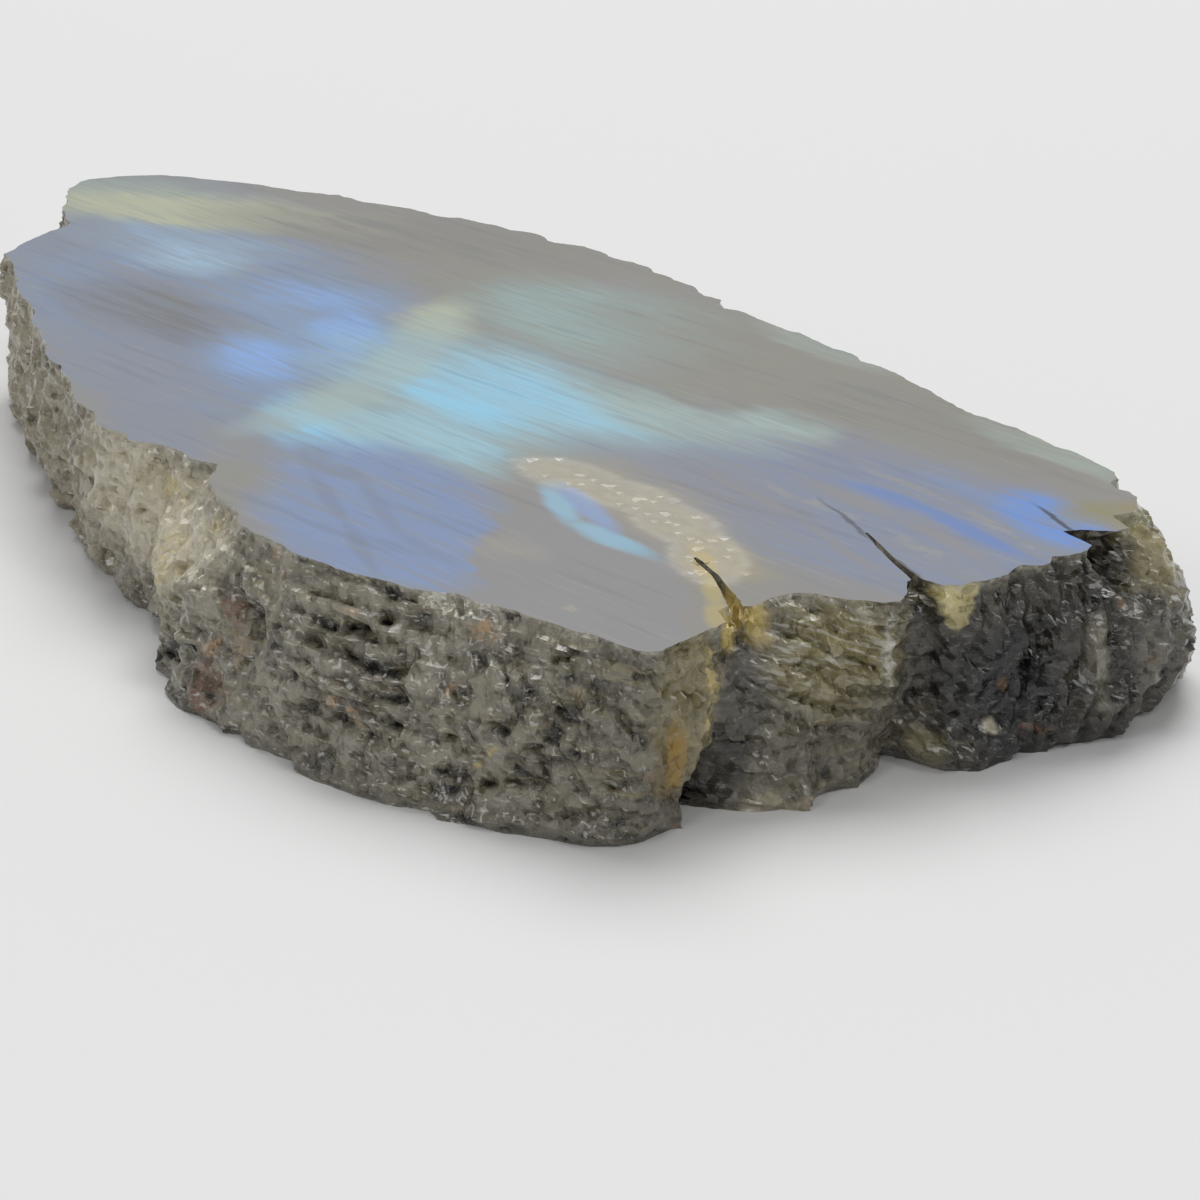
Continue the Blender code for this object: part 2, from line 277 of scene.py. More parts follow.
# Where the middle lobe's cleavage glints run in slanted rows, and how steeply the rows fall
GLINT_CENTRE = (67.5, -6.0, 10.8)
GLINT_HALF = (4.5, 5.2, 3.0)
GLINT_SLANT = 0.35

# The saw's arcs on the underside run round this place
SAW_CENTRE = (0.0, -420.0, 0.0)

# Stains, and the painted glint, that break up into specks
SPECK_COLOURS = ("amber", "rust", "straw", "gold", "glint")

RIM_SPOTS = [
    Spot((-40, -16, 7), (26, 12, 12), "tan_grey", 0.75, 0.5),
    Spot((-10, -28, 6), (18, 5, 10), "tan_grey", 0.75, 0.5),
    Spot((8.3, -30, 10), (10, 4, 5.5), "rim_cream", 0.85, 0.5),
    Spot((17, -31, 9), (9, 4, 5.5), "rim_cream", 0.9, 0.5),
    Spot((25, -32.5, 10), (5, 3, 4.5), "rim_cream", 0.7, 0.5),
    Spot((12, -30, 11.5), (3.5, 2.5, 1.6), "straw", 0.7),
    Spot((19, -31.5, 7.5), (3, 3, 2.4), "straw", 0.6),
    Spot((24.5, -31.8, 12.9), (1.8, 1.6, 1.3), "gold", 0.9),
    Spot((31.8, -33.4, 8.4), (1.5, 1.5, 1.5), "rust", 0.8),
    Spot((31, -35.6, 2.3), (2.6, 1.5, 1.6), "rust", 0.7),
    Spot((33.5, -35, 6.4), (1, 1.5, 1.3), "amber", 0.7),
    Spot((53.9, -26.5, 12.9), (0.9, 1.2, 0.8), "amber", 0.9),
    Spot((47.4, -32.5, 5.4), (1, 1.2, 0.7), "amber", 0.9),
    Spot((45, -33.1, 5.9), (0.8, 1.2, 0.8), "amber", 0.6),
    Spot((30.5, -34.6, 5.1), (1.1, 1.2, 1), "amber", 0.7),
    Spot((49, -30.5, 9.4), (0.7, 1.2, 0.8), "amber", 0.8),
    Spot((48.6, -30.8, 10.8), (0.6, 1.2, 0.6), "straw", 0.8),
    Spot((44.6, -31.8, 11.8), (0.7, 1.2, 0.6), "amber", 0.6),
    # the corner lobe's clear right side
    Spot((66.2, -17.2, 10), (3, 2.6, 6), "olive_glass", 0.65, 0.5),
    Spot((66.6, -19.6, 5.4), (1.6, 1, 2.6), "dark_honey", 0.7, 0.4, False),
    Spot((66.7, -18.6, 5.6), (1.6, 0.9, 2.8), "honey", 0.85, 0.4, False),
    Spot((66.2, -15.4, 9.6), (1.6, 0.6, 4.2), "straw", 0.8, 0.4, False),
    Spot((64, -13, 13.2), (2.8, 1.2, 1.6), "wall_straw", 1, 0.3, False),
    Spot((60.5, -10.2, 13), (5.5, 1.3, 2.2), "wall_straw", 1, 0.4, False),
    # the middle lobe
    Spot((67.6, -5.4, 10.6), (3.5, 5, 4), "olive_glass", 0.8, 0.5),
    Spot((67.8, -9, 3.4), (3, 4.4, 3), "dark_rim", 0.55),
    # Painted shade: black beside the wide crevice.
    Spot((66, -12.6, 8), (2.5, 1.7, 4.5), "black_rim", 0.62),
    Spot((69.2, -1.9, 10.4), (1.2, 0.5, 3), "glint", 0.85, 0.3, False),
    Spot((68.1, -11.1, 0.2), (3, 3.6, 0.9), "tan_grey", 0.9),
    # the recess beside it, with a pale chip above and a small lump at its foot
    # Painted shade: black in the recess.
    Spot((68.8, 3.4, 7), (2.8, 3.4, 5.2), "black_rim", 0.72),
    Spot((68.8, 4.2, 13.3), (2.5, 1.7, 0.9), "honey_chip", 1, 0.2, False),
    Spot((68.9, 4.2, 12.3), (2.5, 1.2, 0.8), "honey_chip", 1, 0.2, False),
    Spot((69, 4.2, 11.3), (2.5, 0.65, 0.8), "honey_chip", 1, 0.2, False),
    Spot((69.6, 1.5, 1.6), (2.4, 1.8, 1.9), "olive_glass", 0.75),
    # the wide lobe
    Spot((67, 24, 11.5), (4, 5.5, 3.5), "olive_glass", 0.9),
    Spot((20, 34, 13.6), (60, 14, 1), "teal_edge", 0.45),
    Spot((72, 12, 5.6), (8, 12, 9.5), "black_rim", 0.85),
    Spot((70.8, 8.2, 5.5), (3, 3.4, 5), "black_rim", 1.1),
    Spot((73, 15, 7), (2, 0.8, 3.8), "grey_rim", 0.9, 0.5, False),
    Spot((72.6, 20, 6.4), (2.4, 1.5, 3.8), "grey_rim", 0.55),
    # Painted shade: black in the deep pit at the polished face's edge.
    Spot((68, 19.6, 12.2), (3.6, 2.3, 2.3), "black_rim", 0.95),
    Spot((70.4, 6.9, 2.9), (0.8, 0.7, 0.6), "rim_cream", 0.9, 0.4, False),
    Spot((71.3, 10, 2.1), (1.2, 1.3, 0.35), "rust", 0.85, 0.4, False),
    # Painted shade: black low in the wide crevice.
    Spot((64.5, -14.2, 2.5), (4, 2, 3.5), "black_rim", 0.8),
]

RIM_STEPS = [
    Steps((45, -31, 10), 11, 1.55, 0.95, 0.05),
    Steps((67, -6, 10), 9, 1.7, 1, 0.55),
    Steps((-5, -29, 7), 14, 1.9, 0.3, -0.15),
    Steps((60, -26, 11.5), 6, 0.9, 0.3, -0.3),
    Steps((25, -33, 5), 10, 1.5, 0.4, -0.1),
]

# A straw coloured sliver that clings to the rim: its middle, its turn and its half sizes
SLIVER_CENTRE = (57.7, -28.8, 4.6)
SLIVER_TURN = (0.0, math.radians(-48.0), math.radians(36.0))
SLIVER_HALF = (2.3, 0.9, 0.38)

BUBBLE_PATCHES = [
    Bubbles((58, -27, 7.5), 7.5, 2.1, 0.7),
    Bubbles((62.5, -24, 6), 7, 1, 0.36),
    Bubbles((53, -29, 3), 6, 1.4, 0.4),
]

CALM_PATCHES = [
    Calm((71, 6, 4), 12, 0.75),
    Calm((72, 15, 6), 11, 0.55),
    Calm((68.5, -8, 2.5), 8, 0.7),
    Calm((65.5, -18, 6), 7, 0.6),
]

RIDGE_CENTRE = (71.5, 15.0, 7.0)
RIDGE_RADIUS = 14.0
RIDGE_PERIOD = 2.3
RIDGE_DEPTH = 0.9

# Chips: sizes as shares of the chip size, depths as shares of the chip depth, stretch, and a shift apart
CHIP_LAYERS = (
    (1.0, 1.0, (1.3, 1.3, 0.8), (0.0, 0.0, 0.0)),
    (0.48, 0.6, (1.4, 1.4, 0.6), (31.0, 17.0, 5.0)),
    (0.25, 0.25, (1.4, 1.4, 0.7), (7.0, 3.0, 19.0)),
)
# How much each chip tilts, and how far apart the places are from which the tilts are drawn
CHIP_TILT = 1.6
CHIP_DRAW = 7.3
# Finer grain: how many times finer it is, and its share of the grain's depth
FINE_GRAIN_SIZE = 2.3
FINE_GRAIN_DEPTH = 0.5

# Bubbles: how far they stray, as a share of their size, and their radius in sizes
BUBBLE_STRAY = 0.35
BUBBLE_RADIUS = 0.5

# Ledges: the share of the height that slopes out, their waviness, and the width of the waves
LEDGE_SLOPE = 0.82
LEDGE_WAVE = 0.45
LEDGE_WAVE_SIZE = 3.2

# Ridges: how much they lean, their waviness and its width, their sharpness, and their mean height
RIDGE_LEAN = 0.35
RIDGE_WAVE = 0.9
RIDGE_WAVE_SIZE = 2.4
RIDGE_SHARPNESS = 1.5
RIDGE_MEAN = 0.45

# How much steeper than its falloff a patch of relief rises, so that most of it has its full depth
FULL_REACH = 1.6
LEDGE_REACH = 1.5
PIT_RISE = 1.8

# The relief's tilts are drawn from this seed, so that every build is the same
RELIEF_SEED = 5
# The relief never moves a point of the rim further than this, in millimetres
RELIEF_LIMIT = 1.0
# The furthest outward, as a share of that
OUTWARD_SHARE = 0.8
# How far from the sawn and the polished face the relief is still held back
BASE_CALM = 0.8
TOP_CALM = 0.9
# The least share of the relief that is left at the flat faces
EDGE_SHARE = 0.25
# How far the whole rim is set back, so that the relief stays inside the solid's box
SET_BACK = 0.2
# How the sharp edges are worn back: evenly, in fine nicks and in wide ones, with their widths
EDGE_WEAR = 0.06
NICK_DEPTHS = (0.12, 0.08)
NICK_SIZES = (0.7, 2.5)
# Points nearer to a flat face than this belong to it, and stay where no way out of the rim is this clear
FLAT_SLACK = 0.001
LEAST_WAY = 0.05
# The rim's own points keep this far from both flat faces
FACE_GAP = 0.02
# How far the lowest edge is worn back, in millimetres
FOOT_WEAR = 0.1

# The camera's sensor in millimetres, and how near and far it sees in metres
SENSOR_WIDTH = 36.0
SIGHT = (0.01, 50.0)

# The wide soft light above and behind the stone
KEY_PLACE = (-0.9, 0.75, 1.9)
KEY_SIZE = 1.6

# Small lights that make the broken rim glint
GLINT_PLACES = ((0.7, -0.45, 0.75), (0.25, -0.8, 0.6), (0.75, 0.25, 0.9))
GLINT_SIZE = 0.25


class SLICE_PG_stage(bpy.types.PropertyGroup):
    """Camera, floor and light."""

    camera_place: FloatVectorProperty(
        name="Camera Place", description="Where the camera stands", default=(0.2151, -0.1289, 0.0920), size=3,
        subtype="TRANSLATION", unit="LENGTH",
    )
    camera_turn: FloatProperty(
        name="Camera Turn", description="Turn of the camera's view round the upright",
        default=math.radians(55.0), subtype="ANGLE", unit="ROTATION",
    )
    camera_dip: FloatProperty(
        name="Camera Dip", description="How far the camera looks down",
        default=math.radians(22.0), subtype="ANGLE", unit="ROTATION",
    )
    lens: FloatProperty(
        name="Lens", description="Focal length in millimetres", default=90.0, min=10.0, max=300.0
    )
    floor_size: length_property("Floor Size", "Side of the square floor", 4.0, 1.0)
    floor_colour: colour_property("Floor Colour", "Colour of the plain floor", (0.7, 0.7, 0.699))
    sky_strength: FloatProperty(
        name="Room Light", description="Strength of the even white light all round", default=0.3,
        min=0.0, max=5.0,
    )
    key_power: FloatProperty(
        name="Key Light", description="Power of the soft light above", default=42.0, min=0.0, max=500.0,
        unit="POWER",
    )
    glint_power: FloatProperty(
        name="Glint Light", description="Power of the small light that makes the broken rim glint",
        default=1.2, min=0.0, max=500.0, unit="POWER",
    )


class SLICE_PG_stone(bpy.types.PropertyGroup):
    """Sizes of the broken rim's relief."""

    rim_cuts: IntProperty(
        name="Rim Cuts", description="New points along each edge of the rim's mesh", default=3, min=1, max=5
    )
    chip_size: length_property("Chip Size", "Width of the small chips on the rim", 3.0 * MM, 0.5 * MM)
    chip_depth: length_property("Chip Depth", "Depth of the small chips", 0.6 * MM)
    grain_size: length_property("Grain Size", "Width of the rim's fine grain", 0.9 * MM, 0.2 * MM)
    grain_depth: length_property("Grain Depth", "Depth of the rim's fine grain", 0.16 * MM)


class SLICE_PG_colours(bpy.types.PropertyGroup):
    """Colours of the stone, each before the veil of the polish."""

    ground: polished("Ground", "The plain stone between the patches", 150, 147, 144)
    tip_green: polished("Tip Green", "Grey green at the narrow tip", 163, 174, 166)
    pale_green: polished("Pale Green", "Yellow green along the tip's far side", 188, 192, 166)
    sky: polished("Sky", "Light sky blue", 162, 190, 214)
    slate_blue: polished("Slate Blue", "Muted blue of the narrow half", 136, 152, 178)
    mid_blue: polished("Middle Blue", "Blue of the middle", 138, 162, 194)
    bright_blue: polished("Bright Blue", "The brightest blue", 140, 178, 236)
    vivid_blue: polished("Vivid Blue", "The strongest blue at the blunt end", 116, 152, 216)
    deep_blue: polished("Deep Blue", "Deep blue at the blunt end", 112, 140, 198)
    periwinkle: polished("Periwinkle", "Blue along the near edge", 134, 152, 186)
    lilac_blue: polished("Lilac Blue", "Grey blue of the blunt end", 136, 146, 168)
    lilac: polished("Lilac", "Grey lilac beside it", 143, 146, 155)
    cyan: polished("Cyan", "The bright cyan band", 152, 208, 236)
    teal: polished("Teal", "Blue green round the cyan", 160, 198, 212)
    green_cream: polished("Green Cream", "Pale green between cyan patches", 170, 188, 184)
    grey_teal: polished("Grey Teal", "Greyer blue green", 152, 167, 170)
    soft_teal: polished("Soft Teal", "Soft grey green of the far side", 156, 178, 177)
    violet_grey: polished("Violet Grey", "Grey with a breath of violet", 141, 147, 160)
    dark_grey: polished("Dark Grey", "Dark smoky grey", 126, 128, 133)
    far_taupe: polished("Far Taupe", "Taupe of the far side", 143, 142, 136)
    far_brown: polished("Far Brown", "Warm grey brown of the far side", 148, 147, 138)
    plain_mauve: polished("Plain Mauve", "The plain patch near the corner", 149, 148, 149)
    cream: polished("Cream", "Cream of the pitted vein", 173, 168, 151)
    vein_tan: polished("Vein Tan", "Cream tan of the pitted vein", 164, 158, 142)
    gold: polished("Gold", "Gold in the cracks", 182, 168, 122)
    olive: polished("Olive", "Olive yellow of the blunt tip", 150, 144, 114)
    crack: polished("Crack", "Dark of an open crack", 70, 66, 62)

    # Black Rim is both the darkest broken stone and the paint for shade in the rim's hollows, recesses, pit
    # and lowest part.
    black_rim: broken("Black Rim", "The darkest broken stone", 44, 41, 38)
    dark_rim: broken("Dark Rim", "Dark broken stone", 82, 78, 68)
    grey_rim: broken("Grey Rim", "Lighter broken stone", 132, 128, 116)
    tan_grey: broken("Tan Grey", "Weathered tan grey skin", 150, 142, 122)
    rim_cream: broken("Rim Cream", "Cream weathered slope", 190, 183, 162)
    straw: broken("Straw", "Straw yellow stain", 176, 160, 108)
    honey: broken("Honey", "Honey glow of thin stone", 142, 114, 48)
    dark_honey: broken("Dark Honey", "Darker honey beside it", 104, 88, 44)
    amber: broken("Amber", "Orange tan specks", 176, 142, 104)
    rust: broken("Rust", "Brown red stain", 112, 82, 68)
    wall_straw: broken("Crack Straw", "Straw stain on the wide crack's walls", 184, 164, 98)
    honey_chip: broken("Pale Chip", "Clear straw chip at the blunt edge", 204, 192, 140)
    olive_glass: broken("Olive Glass", "Clear olive stone", 142, 133, 96)
    # Edge Grit is a pale chipped edge and partly a painted highlight along the polished face's edge.
    edge_chips_and_highlight: broken("Edge Chips And Highlight", "Pale grit along the polished face's edge", 160, 156, 142)
    glint: broken("Glint", "White cleavage glint", 188, 186, 176)
    teal_edge: broken("Teal Edge", "Blue green line on the far edge", 140, 156, 148)


def settings(group):
    """The settings of one group in this scene."""
    return getattr(bpy.context.scene, group)


def segment_distance(x, y, course):
    """Distance in the plane from a place to a course of straight runs."""
    nearest = None
    for (ax, ay), (bx, by) in zip(course, course[1:]):
        run_x = bx - ax
        run_y = by - ay
        share = ((x - ax) * run_x + (y - ay) * run_y) / (run_x * run_x + run_y * run_y)
        share = min(1.0, max(0.0, share))
        distance = math.hypot(x - ax - share * run_x, y - ay - share * run_y)
        if nearest is None or distance < nearest:
            nearest = distance
    return nearest


def falloff(distance, radius):
    """One at the middle, easing to nothing at the radius."""
    share = max(0.0, 1.0 - distance / radius)
    return share * share * (3.0 - 2.0 * share)


def reach_of(patch, place):
    """How much of a patch's relief a place has."""
    return falloff((place - Vector(patch.centre)).length, patch.radius)


def chips(place, size, stretch):
    """Small flat chips, each with its own tilt, as a height between about minus and plus one half."""
    local = Vector([part / (size * wide) for part, wide in zip(place, stretch)])
    centre = noise.voronoi(local)[1][0]
    return noise.noise_vector(centre * CHIP_DRAW).dot(local - centre) * CHIP_TILT


def bubbles(place):
    """Round pits where the rim looks bubbly."""
    total = 0.0
    for patch in BUBBLE_PATCHES:
        reach = reach_of(patch, place)
        if reach <= 0.0:
            continue
        shifted = place + BUBBLE_STRAY * patch.size * noise.noise_vector(place / patch.size)
        distance = noise.voronoi(shifted / patch.size)[0][0]
        bowl = max(0.0, 1.0 - (distance / BUBBLE_RADIUS) ** 2)
        total -= patch.depth * min(1.0, FULL_REACH * reach) * bowl
    return total


def cleavage(place):
    """Cleavage steps: small ledges, each sloping in towards the next one down."""
    total = 0.0
    for steps in RIM_STEPS:
        reach = reach_of(steps, place)
        if reach <= 0.0:
            continue
        along = (place.x + place.y) * 0.7
        level = place.z + steps.slant * along + LEDGE_WAVE * noise.noise(place / LEDGE_WAVE_SIZE)
        share = (level / steps.period) % 1.0
        ledge = min(share / LEDGE_SLOPE, (1.0 - share) / (1.0 - LEDGE_SLOPE))
        total += steps.depth * min(1.0, LEDGE_REACH * reach) * (ledge - 0.5)
    return total


def ridges(place):
    """Upright ridges and furrows down the wide lobe."""
    reach = falloff((place - Vector(RIDGE_CENTRE)).length, RIDGE_RADIUS)
    if reach <= 0.0:
        return 0.0
    lean = RIDGE_LEAN * (place.z - RIDGE_CENTRE[2])
    along = place.y - lean + RIDGE_WAVE * noise.noise(place / RIDGE_WAVE_SIZE)
    wave = 1.0 - 2.0 * abs((along / RIDGE_PERIOD) % 1.0 - 0.5)
    return RIDGE_DEPTH * min(1.0, FULL_REACH * reach) * (wave ** RIDGE_SHARPNESS - RIDGE_MEAN)


def calm_share(place):
    """How much of the chipping is left where the stone broke smoothly."""
    share = 1.0
    for patch in CALM_PATCHES:
        share -= patch.share * reach_of(patch, place)
    return max(0.0, share)


def rim_relief(place, stone):
    """Height of the rim's relief at a place, all in millimetres."""
    chip_size = stone.chip_size / MM
    chip_depth = stone.chip_depth / MM
    grain_size = stone.grain_size / MM
    grain_depth = stone.grain_depth / MM
    height = 0.0
    for size, depth, stretch, shift in CHIP_LAYERS:
        height += depth * chip_depth * chips(place + Vector(shift), size * chip_size, stretch)
    height *= calm_share(place)
    height += grain_depth * noise.noise(place / grain_size)
    height += FINE_GRAIN_DEPTH * grain_depth * noise.noise(place * FINE_GRAIN_SIZE / grain_size)
    height += bubbles(place) + cleavage(place) + ridges(place)
    return max(-RELIEF_LIMIT, min(RELIEF_LIMIT * OUTWARD_SHARE, height))


def edge_calm(level):
    """How much relief is let through near the flat faces."""
    lower = min(1.0, max(0.0, level / BASE_CALM))
    upper = min(1.0, max(0.0, (STONE_TOP - level) / TOP_CALM))
    return min(lower, upper)


def merged_copy(node):
    """The CAD node's triangles as one closed skin, with each flat face whole."""
    skin = bmesh.new()
    skin.from_mesh(node.data)
    bmesh.ops.remove_doubles(skin, verts=skin.verts, dist=MERGE_DISTANCE)
    bmesh.ops.recalc_face_normals(skin, faces=skin.faces)
    top = [face for face in skin.faces if face.normal.z > FLAT_LIMIT and is_level(face, STONE_TOP)]
    base = [face for face in skin.faces if face.normal.z < -FLAT_LIMIT and is_level(face, 0.0)]
    bmesh.ops.dissolve_faces(skin, faces=top, use_verts=False)
    bmesh.ops.dissolve_faces(skin, faces=base, use_verts=False)
    return skin


def is_level(face, level):
    """Whether a face lies in the plane at this height, given in millimetres."""
    return all(abs(vert.co.z - level * MM) < LEVEL_SLACK for vert in face.verts)


def flat_faces(skin, level):
    """The faces that lie in the plane at this height."""
    return [face for face in skin.faces if is_level(face, level)]


def refine_rim(skin, cuts):
    """Splits the rim's triangles finely, and leaves the flat faces whole."""
    flat = set(flat_faces(skin, STONE_TOP)) | set(flat_faces(skin, 0.0))
    edges = [edge for edge in skin.edges if any(face not in flat for face in edge.link_faces)]
    bmesh.ops.subdivide_edges(skin, edges=edges, cuts=cuts, use_grid_fill=True)
    bmesh.ops.triangulate(skin, faces=flat_faces(skin, 0.0))


def between_faces(vert):
    """Whether a point lies between the two flat faces, on neither of them."""
    return LEVEL_SLACK < vert.co.z < STONE_TOP * MM - LEVEL_SLACK


def soften_rim(skin):
    """Takes the hard creases of the coarse mesh off the rim."""
    inner = [vert for vert in skin.verts if between_faces(vert)]
    bmesh.ops.smooth_vert(skin, verts=inner, factor=0.5, use_axis_x=True, use_axis_y=True, use_axis_z=True)


def even_directions(skin):
    """Outward direction of each point, evened out with its neighbours' so that no spikes grow."""
    skin.normal_update()
    directions = {}
    for vert in skin.verts:
        total = sum((edge.other_vert(vert).normal for edge in vert.link_edges), Vector())
        directions[vert] = (vert.normal + total).normalized()
    return directions


def roughen_rim(skin, stone):
    """Pushes the rim's points in and out along their normals by the relief."""
    hollow = skin.verts.layers.float.new(HOLLOW)
    directions = even_directions(skin)
    moves = []
    for vert in skin.verts:
        level = vert.co.z / MM
        place = vert.co / MM
        calm = edge_calm(level)
        on_flat = level < FLAT_SLACK or level > STONE_TOP - FLAT_SLACK
        way = directions[vert].copy()
        if on_flat:
            way.z = 0.0
            if way.length < LEAST_WAY:
                continue
            way.normalize()
            worn = EDGE_WEAR
            for depth, size in zip(NICK_DEPTHS, NICK_SIZES):
                worn += depth * noise.noise(place / size)
            height = -abs(worn) - (FOOT_WEAR if level < FLAT_SLACK else 0.0)
        else:
            relief = rim_relief(place, stone)
            # Depth in the relief, 0 on the highest points and 1 in the deepest: the material paints shade
            # into the hollows and lighter paint onto the raised parts from it.
            vert[hollow] = 0.5 - 0.5 * relief / RELIEF_LIMIT
            height = relief * (EDGE_SHARE + (1.0 - EDGE_SHARE) * calm) - SET_BACK
            way.z *= calm
        moves.append((vert, way * (height * MM)))
    for vert, move in moves:
        vert.co += move
        if between_faces(vert):
            vert.co.z = min(max(vert.co.z, FACE_GAP * MM), (STONE_TOP - FACE_GAP) * MM)


def cut_grid(skin, low, high, axis):
    """Cuts the polished face by parallel planes from low to high."""
    faces = flat_faces(skin, STONE_TOP)
    geometry = dict.fromkeys(faces)
    for face in faces:
        geometry.update(dict.fromkeys(face.edges))
        geometry.update(dict.fromkeys(face.verts))
    geometry = list(geometry)
    for number in range(round((high - low) / PIT_GRID_STEP) + 1):
        place = Vector((0.0, 0.0, 0.0))
        place[axis] = (low + number * PIT_GRID_STEP) * MM
        normal = Vector((0.0, 0.0, 0.0))
        normal[axis] = 1.0
        cut = bmesh.ops.bisect_plane(
            skin, geom=geometry, dist=MERGE_DISTANCE, plane_co=place, plane_no=normal
        )
        geometry = cut["geom"]


def pit_vein(skin):
    """Sinks the pitted vein into the polished face."""
    cut_grid(skin, PIT_GRID_X[0], PIT_GRID_X[1], 0)
    cut_grid(skin, PIT_GRID_Y[0], PIT_GRID_Y[1], 1)
    top = set(flat_faces(skin, STONE_TOP))
    for vert in {vert for face in top for vert in face.verts}:
        if any(face not in top for face in vert.link_faces):
            continue
        place = vert.co / MM
        reach = falloff(segment_distance(place.x, place.y, PIT_COURSE), PIT_REACH)
        if reach <= 0.0:
            continue
        distance = noise.voronoi(place / PIT_SIZE)[0][0]
        bowl = max(0.0, 1.0 - distance / PIT_RADIUS)
        vert.co.z -= PIT_DEPTH * MM * min(1.0, PIT_RISE * reach) * min(1.0, PIT_FLOOR * bowl)


class Amount:
    """A number that varies over the surface. Sums and products of it add Math nodes."""

    def __init__(self, graph, socket):
        self.graph = graph
        self.socket = socket

    def _math(self, operation, first, second):
        node = self.graph.node("Math", {0: first, 1: second}, operation=operation)
        return Amount(self.graph, node.outputs[0])

    def __add__(self, other):
        return self._math("ADD", self, other)

    __radd__ = __add__

    def __rsub__(self, other):
        return self._math("SUBTRACT", other, self)

    def __mul__(self, other):
        return self._math("MULTIPLY", self, other)

    __rmul__ = __mul__

    def least(self, other):
        """The lesser of two numbers."""
        return self._math("MINIMUM", self, other)


